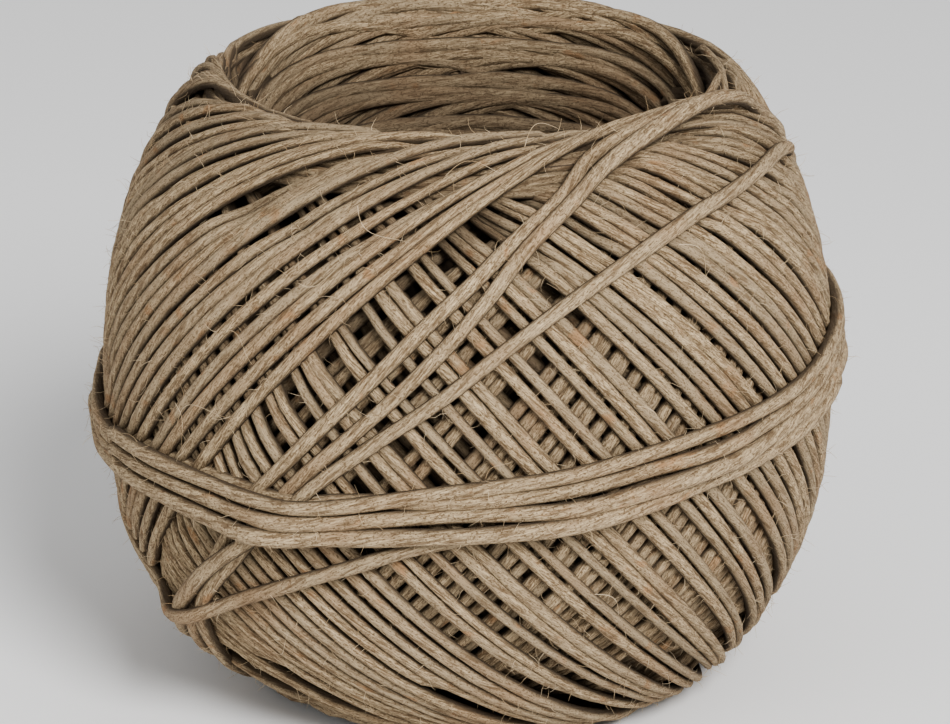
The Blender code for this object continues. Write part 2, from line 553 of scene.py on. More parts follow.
class Winding:
    """Height of the twine already on the ball, kept on a grid of directions and distances."""

    ROUND = 1152
    STEP = 0.25
    SAMPLE = 0.5

    def __init__(self):
        self.low = float(SECTION.along[0])
        rows = int((SECTION.along[-1] - self.low) / self.STEP) + 1
        self.row_place = self.low + np.arange(rows) * self.STEP
        depth = FIRST_BED - FIRST_BED_EASE * blend_between(np.abs(self.row_place), 30.0, 40.0)
        self.top = np.repeat(-depth[:, None], self.ROUND, axis=1)
        self.strands = []
        self.fresh = []

    def footprint(self, radius):
        """Offsets across and along under a strand, with their distance from its middle."""
        across = np.arange(-radius, radius + 0.01, 0.14)
        along = np.arange(-radius, radius + 0.01, self.STEP)
        grid_x, grid_s = np.meshgrid(across, along)
        distance = np.hypot(grid_x, grid_s)
        keep = distance < radius
        return grid_x[keep], grid_s[keep], distance[keep]

    def cells(self, turn, distance, grid_x, grid_s):
        """Grid rows and columns under each sample of a strand."""
        around = np.interp(distance, SECTION.along, SECTION.radius)
        angle = turn[:, None] + grid_x[None, :] / around[:, None]
        column = np.round(angle / (2.0 * math.pi) * self.ROUND).astype(int) % self.ROUND
        row = np.round((distance[:, None] + grid_s[None, :] - self.low) / self.STEP).astype(int)
        return np.clip(row, 0, len(self.row_place) - 1), column

    def lay(
        self, turn, distance, thick, give, kind,
        natural=None, start_height=None, tone=0.0, cap=UNBOUND, reach=UNBOUND,
    ):
        """Pull one strand taut over what is there, keep its height and press it on."""
        middle = float(np.mean(thick))
        grid_x, grid_s, apart = self.footprint(middle)
        dome = np.sqrt(np.clip(middle**2 - apart**2, 0.0, None))[None, :] * give(distance)[:, None]
        row, column = self.cells(turn, distance, grid_x, grid_s)
        bearing = (self.top[row, column] + dome).max(axis=1)
        base = SECTION.points(turn, distance, 0.0)
        step = np.linalg.norm(np.diff(base, axis=0), axis=1)
        along = np.concatenate(([0.0], np.cumsum(step)))
        if natural is None:
            natural = self.straight(base, turn, distance, along)
            if start_height is not None:
                bearing[0] = start_height
        else:
            bearing[0] = natural[0]
            bearing[-1] = natural[-1]
        lift = np.minimum(self.taut(along, bearing - natural), cap) + natural
        lift = np.minimum(lift, soften(bearing, 5) + reach)
        lift = soften(lift, 2)
        heights = lift[:, None] + dome
        slips = np.abs(distance) < SLIP_REACH
        self.press(row[~slips], column[~slips], heights[~slips])
        self.fresh.append((row[slips], column[slips], heights[slips]))
        strand = Strand(turn, distance, lift, thick, tone, kind)
        self.strands.append(strand)
        return strand

    def press(self, row, column, heights):
        """Raise the top to the heights of what lies there."""
        np.maximum.at(self.top, (row.ravel(), column.ravel()), heights.ravel())

    def press_on(self, keep=0):
        """Let the next turns bear on all but the freshest ones, which they slip down beside."""
        while len(self.fresh) > keep:
            self.press(*self.fresh.pop(0))

    @staticmethod
    def straight(base, turn, distance, along):
        """Height over the ball of a line that goes straight on, as its form curves away."""
        first = np.gradient(base, along, axis=0)
        second = np.gradient(first, along, axis=0)
        normal = SECTION.normals(turn, distance)
        bend = -np.sum(second * normal, axis=1)
        bend = soften(bend, 4)
        slope = np.concatenate(([0.0], np.cumsum((bend[1:] + bend[:-1]) / 2.0 * np.diff(along))))
        rise = np.concatenate(([0.0], np.cumsum((slope[1:] + slope[:-1]) / 2.0 * np.diff(along))))
        return rise

    @staticmethod
    def taut(along, bearing):
        """Smallest hump-backed line that stays on or over the bearing points."""
        hull = []
        for index in range(len(along)):
            while len(hull) >= 2:
                first, second = hull[-2], hull[-1]
                rise_one = (bearing[second] - bearing[first]) * (along[index] - along[first])
                rise_two = (bearing[index] - bearing[first]) * (along[second] - along[first])
                if rise_one <= rise_two:
                    hull.pop()
                else:
                    break
            hull.append(index)
        return np.interp(along, along[hull], bearing[hull])

    def cover(self, reach):
        """Smooth face over the tops of the turns, with the gaps between them closed."""
        face = self.top.copy()
        for shift in (1, 2, 4, 6):
            face = np.maximum(face, np.roll(face, shift, axis=1))
            face = np.maximum(face, np.roll(face, -shift, axis=1))
        for shift in (1, 2, 4):
            face[shift:] = np.maximum(face[shift:], face[:-shift])
            face[:-shift] = np.maximum(face[:-shift], face[shift:])
        for _ in range(2):
            total = np.cumsum(np.pad(face, ((0, 0), (reach + 1, reach)), mode="wrap"), axis=1)
            face = (total[:, 2 * reach + 1 :] - total[:, : -2 * reach - 1]) / (2 * reach + 1)
            total = np.cumsum(np.pad(face, ((reach + 1, reach), (0, 0)), mode="edge"), axis=0)
            face = (total[2 * reach + 1 :] - total[: -2 * reach - 1]) / (2 * reach + 1)
        return face

    def move(self, shift):
        """Raise or lower everything laid so far by a field of heights."""
        self.top = self.top + shift
        self.fresh = [(row, column, heights + shift[row, column]) for row, column, heights in self.fresh]
        for strand in self.strands:
            row = (strand.distance - self.low) / self.STEP
            column = (strand.turn / (2.0 * math.pi) * self.ROUND) % self.ROUND
            r0 = np.clip(row.astype(int), 0, len(self.row_place) - 2)
            c0 = column.astype(int) % self.ROUND
            c1 = (c0 + 1) % self.ROUND
            fr = row - r0
            fc = column - column.astype(int)
            upper = shift[r0, c0] * (1.0 - fc) + shift[r0, c1] * fc
            lower = shift[r0 + 1, c0] * (1.0 - fc) + shift[r0 + 1, c1] * fc
            strand.lift = strand.lift + upper * (1.0 - fr) + lower * fr

    def bed_down(self, level):
        """Press what stands over a level back to it, as tension does where turns pile up."""
        self.move(np.minimum(level - self.cover(8), 0.0))

    def settle(self, low, high, target, reach):
        """Bring the outer face of all strands laid so far to the solid's form."""
        inside = blend_between(self.row_place, low, low + 2.0)
        inside = inside * (1.0 - blend_between(self.row_place, high - 2.0, high))
        self.move((target - self.cover(reach)) * inside[:, None])

    def level(self, middle):
        """Even out the heights of the strands that lie on top, and leave those beneath them."""
        for strand in self.strands:
            drop = middle - strand.lift
            kept = LEVEL_KEPT + (1.0 - LEVEL_KEPT) * blend_between(drop, *LEVEL_DROPS)
            strand.lift = middle - drop * kept


def cross_give(distance):
    """Share of its thickness that a strand keeps where it crosses another."""
    return 0.80 - 0.38 * blend_between(np.abs(distance), 22.0, 34.0)


def bore_give(distance):
    """The same in the bore."""
    return np.full(len(distance), 0.6)


def loose_give(distance):
    """The same for the turns laid last."""
    return np.full(len(distance), 0.9)


def twine_thickness(count, seed, radius):
    """Radius of the strand along its length: slow swells, small lumps and a few slubs."""
    chance = np.random.default_rng(seed)
    thick = 1.0 + wander(count, 34, 0.05, seed + 1) + wander(count, 9, 0.025, seed + 2)
    for _ in range(int(chance.uniform(0.2, 1.0) + count / 600)):
        middle = chance.uniform(0.0, count)
        reach = chance.uniform(9.0, 26.0)
        size = chance.uniform(0.08, 0.24)
        thick = thick + size * np.exp(-(((np.arange(count) - middle) / reach) ** 2))
    return np.clip(thick, 0.82, 1.22) * radius


def squeeze(turn, distance, pitch, thick):
    """Share of its width that a strand keeps between neighbours a pitch in degrees apart."""
    around = np.interp(distance, SECTION.along, SECTION.radius)
    across = np.gradient(turn) * around
    upward = np.gradient(distance)
    room = math.radians(pitch) * around * np.abs(upward) / (np.hypot(across, upward) + 1e-9)
    return soften(np.clip(room / (2.0 * thick), 0.68, 1.0), 6)


def resample(turn, distance, spacing):
    """Even samples along a path given by directions and distances."""
    base = SECTION.points(turn, distance, 0.0)
    along = np.concatenate(([0.0], np.cumsum(np.linalg.norm(np.diff(base, axis=0), axis=1))))
    count = max(int(along[-1] / spacing), 8)
    even = np.linspace(0.0, along[-1], count)
    return np.interp(even, along, turn), np.interp(even, along, distance)


def through(rows, spacing):
    """Smooth path through rows of direction in degrees and distance from the equator."""
    knots = np.array(rows, dtype=float)
    knots = np.vstack((2 * knots[0] - knots[1], knots, 2 * knots[-1] - knots[-2]))
    pieces = []
    for index in range(1, len(knots) - 2):
        before, here, there, after = knots[index - 1 : index + 3]
        share = np.linspace(0.0, 1.0, 24, endpoint=False)[:, None]
        pieces.append(
            0.5
            * (
                2.0 * here
                + (there - before) * share
                + (2.0 * before - 5.0 * here + 4.0 * there - after) * share**2
                + (3.0 * here - before - 3.0 * there + after) * share**3
            )
        )
    path = np.vstack(pieces + [knots[-2][None, :]])
    return resample(np.radians(path[:, 0]), path[:, 1], spacing)


def lay_rows():
    """Directions at which each rising turn of the cross winding crosses the equator."""
    chance = np.random.default_rng(SEED_SPACING)
    starts = [row[0] for row in CROSS_LAYS]
    places = [FIRST_TURN]
    beat = 0
    while places[-1] < LAST_TURN:
        stretch = max(index for index, start in enumerate(starts) if places[-1] >= start)
        spacing, gather = CROSS_LAYS[stretch][1:]
        beat += 1
        swing = GATHER_BEAT[beat % len(GATHER_BEAT)] * gather
        places.append(places[-1] + spacing * (1.0 + swing) + chance.normal(0.0, SPACING_CHANCE))
    return places


def cross_turn(start, after, base_from, top, base_to):
    """One loop of the cross winding: up over the upper rim and down round the lower one."""
    sweep = np.radians(np.linspace(-90.0, 270.0, TURN_SAMPLES))
    lat = np.arcsin(math.sin(LEAN) * np.sin(sweep)) / LEAN
    share = (sweep + math.pi / 2.0) / (2.0 * math.pi)
    base = base_from + (base_to - base_from) * blend_between(share, 0.4, 0.6)
    distance = np.where(lat > 0.0, lat * top, -lat * base)
    turn = np.arctan2(math.cos(LEAN) * np.sin(sweep), np.cos(sweep))
    turn = np.where(sweep > math.pi / 2.0, np.where(turn < 0.0, turn + 2.0 * math.pi, turn), turn)
    creep = start + (after - start) * share
    return turn + np.radians(creep), distance


def wind_cross(winding):
    """The whole cross winding in the order it was laid."""
    places = lay_rows()
    chance = np.random.default_rng(SEED_CROSS)
    last_end = None
    tops = []
    bases = []
    for index, place in enumerate(places):
        spread = ((index * GOLDEN_SHARE) % 1.0 - 0.5) * 2.0
        late = float(blend_between(np.array(place), *LATE_TURNS))
        top = SECTION.top * TOP_TURN + spread * (TOP_SCATTER - LATE_CALM * late) - EARLY_SHORT * (1.0 - late)
        top += np.interp(place, [row[0] for row in RIM_REACH], [row[1] for row in RIM_REACH])
        base = SECTION.base * BASE_TURN
        for size, pace in BASE_WAVES:
            base += size * math.sin(index * pace)
        tops.append(top + chance.normal(0.0, RIM_CHANCE))
        bases.append(base + chance.normal(0.0, RIM_CHANCE))
    for index in range(len(places) - 1):
        outer = places[index] > LAST_TURN - OUTER_SWEEP
        ends = (places[index], places[index + 1], bases[index], tops[index], bases[index + 1])
        turn, distance = resample(*cross_turn(*ends), Winding.SAMPLE)
        turn = turn + np.radians(wander(len(turn), 60, 0.22, SEED_CROSS_PATH + index))
        thick = twine_thickness(len(turn), SEED_CROSS_THICK + index * 7, STRAND_RADIUS)
        strand = winding.lay(
            turn,
            distance,
            thick,
            cross_give,
            "cross" if outer else "under",
            start_height=last_end,
            tone=float(chance.uniform(0.0, 1.0)),
        )
        pitch = places[index + 1] - places[index]
        if index > 0:
            pitch = min(pitch, places[index] - places[index - 1])
        strand.wide = squeeze(turn, distance, pitch, thick)
        strand.lift = strand.lift + wander(len(turn), 50, 0.08, SEED_CROSS_LIFT + index)
        winding.press_on(SLIP_TURNS)
        if index % BED_EVERY == BED_EVERY - 1:
            share = (places[index] - FIRST_TURN) / (LAST_TURN - FIRST_TURN)
            winding.bed_down(-BED_DEPTH + BED_DEPTH * share)
        last_end = float(strand.lift[-1])


def lay_bore(winding):
    """Arcs of twine that wall the bore, each touching it in the middle and diving in at its ends."""
    chance = np.random.default_rng(SEED_BORE)
    inside = winding.row_place > SECTION.top + 2.0
    winding.top[inside] = np.maximum(winding.top[inside], BORE_FLOOR)
    for number, (depth, first, last, reach, fall, proud, count) in enumerate(BORE_BUNDLES):
        closed = last - first > 359.0
        for index in range(count):
            share = index / count if closed else index / max(count - 1, 1)
            middle = first + (last - first) * share + chance.normal(0.0, ARC_TURN_CHANCE)
            middle += number * ARC_STAGGER * closed
            half = reach * chance.uniform(*ARC_REACH)
            swing = np.linspace(-half, half, 160)
            under = depth + chance.normal(0.0, ARC_DEPTH_CHANCE)
            around = float(np.interp(SECTION.top + under, SECTION.along, SECTION.radius))
            away = around * (1.0 / np.cos(np.radians(swing)) - 1.0)
            distance = SECTION.top + under + fall * away + chance.normal(0.0, ARC_SLOPE_CHANCE) * swing
            turn, distance = resample(np.radians(middle + swing), distance, Winding.SAMPLE)
            spread = np.linspace(-half, half, len(turn))
            natural = proud - BORE_DIVE * around * (1.0 / np.cos(np.radians(spread)) - 1.0)
            thick = twine_thickness(len(turn), SEED_ARCS + number * 50 + index, STRAND_RADIUS)
            tone = float(chance.uniform(0.0, 1.0))
            winding.lay(turn, distance, thick, bore_give, "bore", natural=natural, tone=tone, cap=ARC_HIGHEST)
            winding.press_on()


def lay_lining(winding):
    """Level coils behind the bore's arcs and down its lower half, one strand above and one below."""
    upper = (SECTION.top - LINING_START, SECTION.along[-1], LINING_UPPER_LIFT)
    lower = (SECTION.along[0], SECTION.base - BASE_FLAT - 0.5, LINING_LOWER_LIFT)
    for number, (start, end, lift) in enumerate((upper, lower)):
        turns = abs(end - start) / LINING_PITCH
        share = np.linspace(0.0, 1.0, int(turns * 220))
        path = (2.0 * math.pi * turns * share, start + (end - start) * share)
        turn, distance = resample(*path, Winding.SAMPLE)
        thick = twine_thickness(len(turn), SEED_LINING + number * 7, STRAND_RADIUS)
        height = lift + wander(len(turn), 40, 0.12, SEED_LINING + 200 + number)
        distance = distance + wander(len(turn), 60, 0.12, SEED_LINING + 300 + number)
        coil = Strand(turn, distance, height, thick, 0.3 + 0.4 * number, "bore")
        tucked(coil, *COIL_TUCK)
        winding.strands.append(coil)


def tucked(strand, reach, depth):
    """Draw both ends of a strand down between its neighbours."""
    from_start = np.arange(len(strand.turn)) * Winding.SAMPLE
    nearest = np.minimum(from_start, from_start[::-1])
    strand.lift = strand.lift - depth * (1.0 - blend_between(nearest, 0.0, reach))


def lay_loose(winding):
    """The loose turns that cross the rest, and the one that strays off under the wraps."""
    for number, rows in enumerate((PAIR_UPPER, PAIR_LOWER, SINGLE, STRAY)):
        turn, distance = through(rows, Winding.SAMPLE)
        thick = twine_thickness(len(turn), SEED_LOOSE + number * 7, STRAND_RADIUS * LOOSE_THICK)
        front = -np.sin(turn)
        reach = LOOSE_LEAST + LOOSE_FRONT * blend_between(front, 0.0, 0.45)
        reach = reach * (1.0 - LOOSE_LOW * blend_between(-distance, 4.0, 14.0))
        strand = winding.lay(turn, distance, thick, loose_give, "over", tone=0.35 + 0.1 * number, reach=reach)
        shoulder = -0.15 if rows in (SINGLE, STRAY) else 0.1
        strand.lift = strand.lift - BEHIND_DEPTH * (1.0 - blend_between(front, shoulder, shoulder + 0.38))
        if rows is STRAY:
            strand.lift = strand.lift - STRAY_DEPTH * blend_between(-np.degrees(turn), -216.0, -202.0)
        tucked(strand, *END_TUCK)
        winding.press_on()


def lay_wraps(winding):
    """The waist wraps: one helix of four wraps, drawn tight over everything."""
    rows = list(WRAP_LEAD)
    for wrap in range(len(WRAP_ROWS[0]) - 1):
        rows += [(row[0] + 360.0 * wrap, row[wrap + 1]) for row in WRAP_ROWS]
    rows += WRAP_TAIL
    direction = np.radians([row[0] for row in rows])
    lean = WRAP_SLOPE_RIGHT * np.cos(direction) + WRAP_SLOPE_BACK * np.sin(direction)
    placed = [(row[0], row[1] + EQUATOR_RADIUS * rise) for row, rise in zip(rows, lean)]
    turn, distance = through(placed, Winding.SAMPLE)
    thick = twine_thickness(len(turn), SEED_WRAPS, STRAND_RADIUS * WRAP_THICK)
    strand = winding.lay(turn, distance, thick, loose_give, "over", tone=0.5, reach=WRAP_STANDOFF)
    tucked(strand, *END_TUCK)
    degrees = np.degrees(turn)
    strand.radius = thick * (1.0 + FIRST_WRAP_EXTRA * (1.0 - blend_between(degrees, 330.0, 400.0)))
    start, end = HIDDEN_WRAP
    hidden = blend_between(degrees, start, start + HIDDEN_EASE)
    hidden = hidden * (1.0 - blend_between(degrees, end, end + HIDDEN_EASE))
    strand.lift = strand.lift - HIDDEN_DEPTH * hidden


def outer_form(winding):
    """Heights over the solid's face that the outer turns are brought to, on the winding's grid."""
    down = -winding.row_place
    foot = -SECTION.base
    target = OUTER_LIFT + RIM_RAISE * blend_between(winding.row_place, SECTION.top - 8.0, SECTION.top)
    target = target - BASE_SINK * blend_between(down, foot - 3.0, foot)
    sway = BASE_SWAY * blend_between(down, 20.0, 34.0)
    sway = sway * (1.0 - blend_between(down, foot - 5.0, foot - 1.0))
    around = np.arange(winding.ROUND) / winding.ROUND * 2.0 * math.pi
    return target[:, None] + sway[:, None] * np.cos(around)[None, :]


def build_winding():
    """Lay the cross winding, bring it to form, and lay the rest over it."""
    winding = Winding()
    wind_cross(winding)
    winding.press_on()
    target = outer_form(winding)
    for reach in SETTLE_REACHES:
        winding.settle(SECTION.base - SETTLE_BELOW, SECTION.top + SETTLE_ABOVE, target, reach)
    winding.level(LEVEL_HEIGHT)
    lay_lining(winding)
    lay_bore(winding)
    lay_loose(winding)
    lay_wraps(winding)
    return winding


class Wire:
    """Output of a node that can stand in a sum with numbers and other outputs."""

    def __init__(self, graph, socket):
        self.graph = graph
        self.socket = socket

    def joined(self, operation, left, right):
        """Sum of two sides through the Math node their kind needs."""
        sides = (left, right)
        if any(isinstance(side, Wire) and side.socket.type in ("VECTOR", "RGBA") for side in sides):
            values = [side if isinstance(side, (Wire, tuple)) else (side, side, side) for side in sides]
            settings = {"operation": operation}
            return self.graph.add("ShaderNodeVectorMath", settings, {0: values[0], 1: values[1]})
        return self.graph.add("ShaderNodeMath", {"operation": operation}, {0: left, 1: right})

    def __add__(self, other):
        return self.joined("ADD", self, other)

    def __radd__(self, other):
        return self.joined("ADD", other, self)

    def __sub__(self, other):
        return self.joined("SUBTRACT", self, other)

    def __rsub__(self, other):
        return self.joined("SUBTRACT", other, self)

    def __mul__(self, other):
        return self.joined("MULTIPLY", self, other)

    def __rmul__(self, other):
        return self.joined("MULTIPLY", other, self)

    def __truediv__(self, other):
        return self.joined("DIVIDE", self, other)

    def __rtruediv__(self, other):
        return self.joined("DIVIDE", other, self)

    def __pow__(self, other):
        return self.joined("POWER", self, other)

    def __neg__(self):
        return self.joined("MULTIPLY", self, -1.0)

    def eased(self, low, high, start=0.0, end=1.0):
        """Smooth step from start at low to end at high."""
        settings = {"interpolation_type": "SMOOTHSTEP"}
        values = {"Value": self, "From Min": low, "From Max": high, "To Min": start, "To Max": end}
        return self.graph.add("ShaderNodeMapRange", settings, values)


class Graph:
    """A node tree that is written as sums of Wires."""

    def __init__(self, tree):
        self.tree = tree

    def add(self, kind, settings=None, values=None, output=0):
        """Add one node: its settings first, then the values or links of its sockets."""
        node = self.tree.nodes.new(kind)
        for name, value in (settings or {}).items():
            setattr(node, name, value)
        for name, value in (values or {}).items():
            socket = node.inputs[name]
            if isinstance(value, Wire):
                self.tree.links.new(value.socket, socket)
            else:
                socket.default_value = value
        self.last = node
        return Wire(self, node.outputs[output]) if node.outputs else None

    def cosine(self, wire):
        """Cosine of a wire."""
        return self.add("ShaderNodeMath", {"operation": "COSINE"}, {0: wire})

    def sine(self, wire):
        """Sine of a wire."""
        return self.add("ShaderNodeMath", {"operation": "SINE"}, {0: wire})

    def vector(self, x, y, z):
        """Vector of three wires or numbers."""
        return self.add("ShaderNodeCombineXYZ", None, {"X": x, "Y": y, "Z": z})

    def noise(self, vector, scale, detail=2.0, rough=0.5, warp=0.0):
        """Noise of one scale, about nought to one."""
        values = {"Vector": vector, "Scale": scale, "Detail": detail, "Roughness": rough, "Distortion": warp}
        return self.add("ShaderNodeTexNoise", {"noise_dimensions": "3D"}, values)

    def mix(self, share, first, second):
        """Mix of two colours."""
        settings = {"data_type": "RGBA", "clamp_factor": True}
        return self.add("ShaderNodeMix", settings, {0: share, 6: first, 7: second}, output=2)


def empty_material(name):
    """Material with an empty node tree, and the graph that fills it."""
    material = bpy.data.materials.new(name)
    material.use_nodes = True
    material.node_tree.nodes.clear()
    return material, Graph(material.node_tree)


def twine_finish(name, settings):
    """Hemp: fibres that wind slowly round the strand, creases, browner stretches and flecks, with painted
    shade on the strands' sides and in the depths of the ball.
    """
    material, graph = empty_material(name)
    lay = graph.add("ShaderNodeUVMap", {"uv_map": "Lay"})
    along = graph.add("ShaderNodeSeparateXYZ", None, {0: lay})
    node = graph.last
    along = along * 100.0
    around = Wire(graph, node.outputs[1])
    tone = graph.add("ShaderNodeAttribute", {"attribute_name": "tone"}, None, output=2)
    place = graph.add("ShaderNodeTexCoord", None, None, output=3)
    angle = around * (2.0 * math.pi) + along * settings.fibre_lean
    shift = tone * 91.0
    ring_x = graph.cosine(angle)
    ring_y = graph.sine(angle)
    fine = graph.noise(graph.vector(ring_x * 6.5, ring_y * 6.5, along * 1.1 + shift), 1.0, 4.0, 0.72)
    folds = graph.noise(graph.vector(ring_x * 2.2, ring_y * 2.2, along * 0.30 + shift), 1.0, 2.0, 0.55)
    flecks = graph.noise(graph.vector(ring_x * 4.5, ring_y * 4.5, along * 3.6 - shift), 1.0, 2.0, 0.6)
    rust = graph.noise(graph.vector(shift, ring_x * 0.5, along * 0.30), 1.0, 2.0, 0.5)
    lumps = graph.noise(graph.vector(ring_x * 0.9, ring_y * 0.9, along * 0.5 + shift), 1.0, 1.0, 0.5)
    stretch = graph.noise(graph.vector(shift, tone * 13.0, along * 0.05), 1.0, 2.0, 0.5)
    patch = graph.noise(place, 110.0, 2.0, 0.5)
    fibre = fine.eased(0.36, 0.68)
    crease = folds.eased(0.34, 0.46)
    labels = ("pale", "deep", "brown", "grey", "rust", "shade")
    colours = [tuple(getattr(settings, label + "_colour")) + (1.0,) for label in labels]
    pale, deep, brown, grey, rusty, shade = colours
    colour = graph.mix(fibre * 0.7 + folds.eased(0.3, 0.7) * 0.3, deep, pale)
    colour = graph.mix(tone.eased(0.2, 1.0) * 0.65, colour, grey)
    colour = graph.mix(stretch.eased(0.54, 0.74) * 0.4, colour, brown)
    colour = graph.mix(patch.eased(0.52, 0.74) * 0.4, colour, brown)
    colour = graph.mix(rust.eased(0.62, 0.74) * 0.6, colour, rusty)
    colour = graph.mix((1.0 - crease) * 0.6, colour, deep)
    colour = graph.mix(flecks.eased(0.53, 0.66) * 0.8, colour, deep)
    # Painted shade: colour darkened towards the shade colour the deeper a strand lies under others, a little
    # near the crest of the upper rim and more down the bore.
    depth_shade = graph.add("ShaderNodeAttribute", {"attribute_name": "depth_shade"}, None, output=2)
    colour = graph.mix(depth_shade * 0.7, colour, shade)
    # Painted shade: colour darkened towards the shade colour round the strand's sides, away from its outer
    # face, where neighbours lie together.
    side = graph.cosine(around * (2.0 * math.pi)) + lumps * 0.3 - 0.15
    colour = graph.mix(side.eased(0.0, 0.85, 0.9, 0.0), colour, shade)
    height = fine * 0.7 + folds * 0.9 + lumps * 0.8 - flecks.eased(0.5, 0.7) * 0.35
    bump_values = {"Strength": 0.75, "Distance": settings.fibre_relief, "Height": height}
    bump = graph.add("ShaderNodeBump", None, bump_values)
    shader_values = {
        "Base Color": colour,
        "Roughness": fibre.eased(0.0, 1.0, 0.95, 0.80),
        "Specular IOR Level": 0.28,
        "Normal": bump,
    }
    shader = graph.add("ShaderNodeBsdfPrincipled", None, shader_values)
    graph.add("ShaderNodeOutputMaterial", None, {"Surface": shader})
    return material


def core_finish(name):
    """Packed fibre deep in the ball, coloured near black as painted shade."""
    material, graph = empty_material(name)
    place = graph.add("ShaderNodeTexCoord", None, None, output=3)
    grain = graph.noise(place, 900.0, 3.0, 0.6)
    colour = graph.mix(grain.eased(0.3, 0.7), *CORE_SHADE_COLOURS)
    bump = graph.add("ShaderNodeBump", None, {"Strength": 0.6, "Distance": 0.0002, "Height": grain})
    values = {"Base Color": colour, "Roughness": grain.eased(0.2, 0.8, 0.98, 0.88), "Normal": bump}
    shader = graph.add("ShaderNodeBsdfPrincipled", None, values)
    graph.add("ShaderNodeOutputMaterial", None, {"Surface": shader})
    return material


def nodes_group(name, inputs):
    """Empty Geometry Nodes group with named inputs, and the wires that come from them."""
    tree = bpy.data.node_groups.new(name, "GeometryNodeTree")
    for label, kind, value in inputs:
        socket = tree.interface.new_socket(label, in_out="INPUT", socket_type="NodeSocket" + kind)
        if value is not None:
            socket.default_value = value
    tree.interface.new_socket("Result", in_out="OUTPUT", socket_type="NodeSocketGeometry")
    graph = Graph(tree)
    graph.add("NodeGroupInput")
    source = graph.last
    return graph, {label: Wire(graph, source.outputs[label]) for label, _, _ in inputs}


def finished_group(graph, mesh, finish):
    """End a group: real geometry with its finish."""
    mesh = graph.add("GeometryNodeRealizeInstances", None, {"Geometry": mesh})
    mesh = graph.add("GeometryNodeSetMaterial", None, {"Geometry": mesh, "Material": finish})
    graph.add("NodeGroupOutput", None, {"Result": mesh})
    return graph.tree


def strand_tree():
    """Geometry Nodes that wrap a slightly flat, slowly turning section round every path."""
    graph, inputs = nodes_group(
        "Twine strand",
        (
            ("Paths", "Geometry", None),
            ("Width", "Float", 1.02),
            ("Thickness", "Float", 0.98),
            ("Rib", "Float", 0.03),
            ("Rib turn", "Float", 250.0),
            ("Sides", "Int", 10),
            ("Finish", "Material", None),
        ),
    )

    def named(label, kind="FLOAT"):
        return graph.add("GeometryNodeInputNamedAttribute", {"data_type": kind}, {"Name": label})

    curve = graph.add("GeometryNodeMeshToCurve", None, {"Mesh": inputs["Paths"]})
    free = {"Curve": curve, "Normal": named("up", "FLOAT_VECTOR")}
    curve = graph.add("GeometryNodeSetCurveNormal", {"mode": "FREE"}, free)
    stored = {"data_type": "FLOAT_VECTOR", "domain": "POINT"}
    middle = graph.add("GeometryNodeInputPosition")
    kept = {"Geometry": curve, "Name": "middle", "Value": middle}
    curve = graph.add("GeometryNodeStoreNamedAttribute", stored, kept)
    round_values = {"Resolution": inputs["Sides"], "Radius": 1.0}
    ring = graph.add("GeometryNodeCurvePrimitiveCircle", {"mode": "RADIUS"}, round_values)
    scale = graph.vector(inputs["Thickness"], inputs["Width"], 1.0)
    ring = graph.add("GeometryNodeTransform", None, {"Geometry": ring, "Scale": scale})
    place = graph.add("GeometryNodeSplineParameter")
    stored = {"data_type": "FLOAT", "domain": "POINT"}
    kept = {"Geometry": ring, "Name": "around", "Value": place}
    ring = graph.add("GeometryNodeStoreNamedAttribute", stored, kept)
    wrap = {"Curve": curve, "Profile Curve": ring, "Scale": named("thick"), "Fill Caps": True}
    mesh = graph.add("GeometryNodeCurveToMesh", None, wrap)
    angle = named("around") * (2.0 * math.pi) + named("lay") * inputs["Rib turn"]
    swell = graph.cosine(angle * 2.0) * 0.6 + graph.cosine(angle * 3.0 + 1.3) * 0.4
    normal = graph.add("GeometryNodeInputNormal")
    offset = normal * (swell * inputs["Rib"] * named("thick"))
    mesh = graph.add("GeometryNodeSetPosition", None, {"Geometry": mesh, "Offset": offset})
    middle = named("middle", "FLOAT_VECTOR")
    outward = named("up", "FLOAT_VECTOR")
    arm = graph.add("GeometryNodeInputPosition") - middle
    height = graph.add("ShaderNodeVectorMath", {"operation": "DOT_PRODUCT"}, {0: arm, 1: outward}, output=1)
    rise = outward * graph.vector(height, height, height)
    share = named("wide")
    squeezed = middle + rise + (arm - rise) * graph.vector(share, share, share)
    mesh = graph.add("GeometryNodeSetPosition", None, {"Geometry": mesh, "Position": squeezed})
    mesh = graph.add("GeometryNodeSetShadeSmooth", None, {"Geometry": mesh, "Shade Smooth": True})
    return finished_group(graph, mesh, inputs["Finish"])


def path_mesh(name, runs):
    """Edges along the middle of each run of twine, with what the strand needs at each point."""
    reel = 0.0
    for run in runs:
        step = np.linalg.norm(np.diff(run["points"], axis=0), axis=1)
        run["reel"] = reel + np.concatenate(([0.0], np.cumsum(step)))
        reel = run["reel"][-1] + REEL_GAP
    data = bpy.data.meshes.new(name)
    counts = [len(run["points"]) for run in runs]
    points = np.vstack([run["points"] for run in runs])
    starts = np.concatenate(([0], np.cumsum(counts)))[:-1]
    first = np.concatenate([np.arange(start, start + count - 1) for start, count in zip(starts, counts)])
    data.vertices.add(len(points))
    data.vertices.foreach_set("co", points.astype(np.float32).ravel())
    data.edges.add(len(first))
    data.edges.foreach_set("vertices", np.column_stack((first, first + 1)).astype(np.int32).ravel())
    labels = ("thick", "wide", "lay", "tone", "depth_shade", "reel", "up")
    for label in labels:
        kind = "FLOAT_VECTOR" if label == "up" else "FLOAT"
        layer = data.attributes.new(label, kind, "POINT")
        values = np.concatenate([np.atleast_1d(run[label]) for run in runs]).astype(np.float32)
        layer.data.foreach_set("vector" if kind == "FLOAT_VECTOR" else "value", values.ravel())
    data.update()
    return data


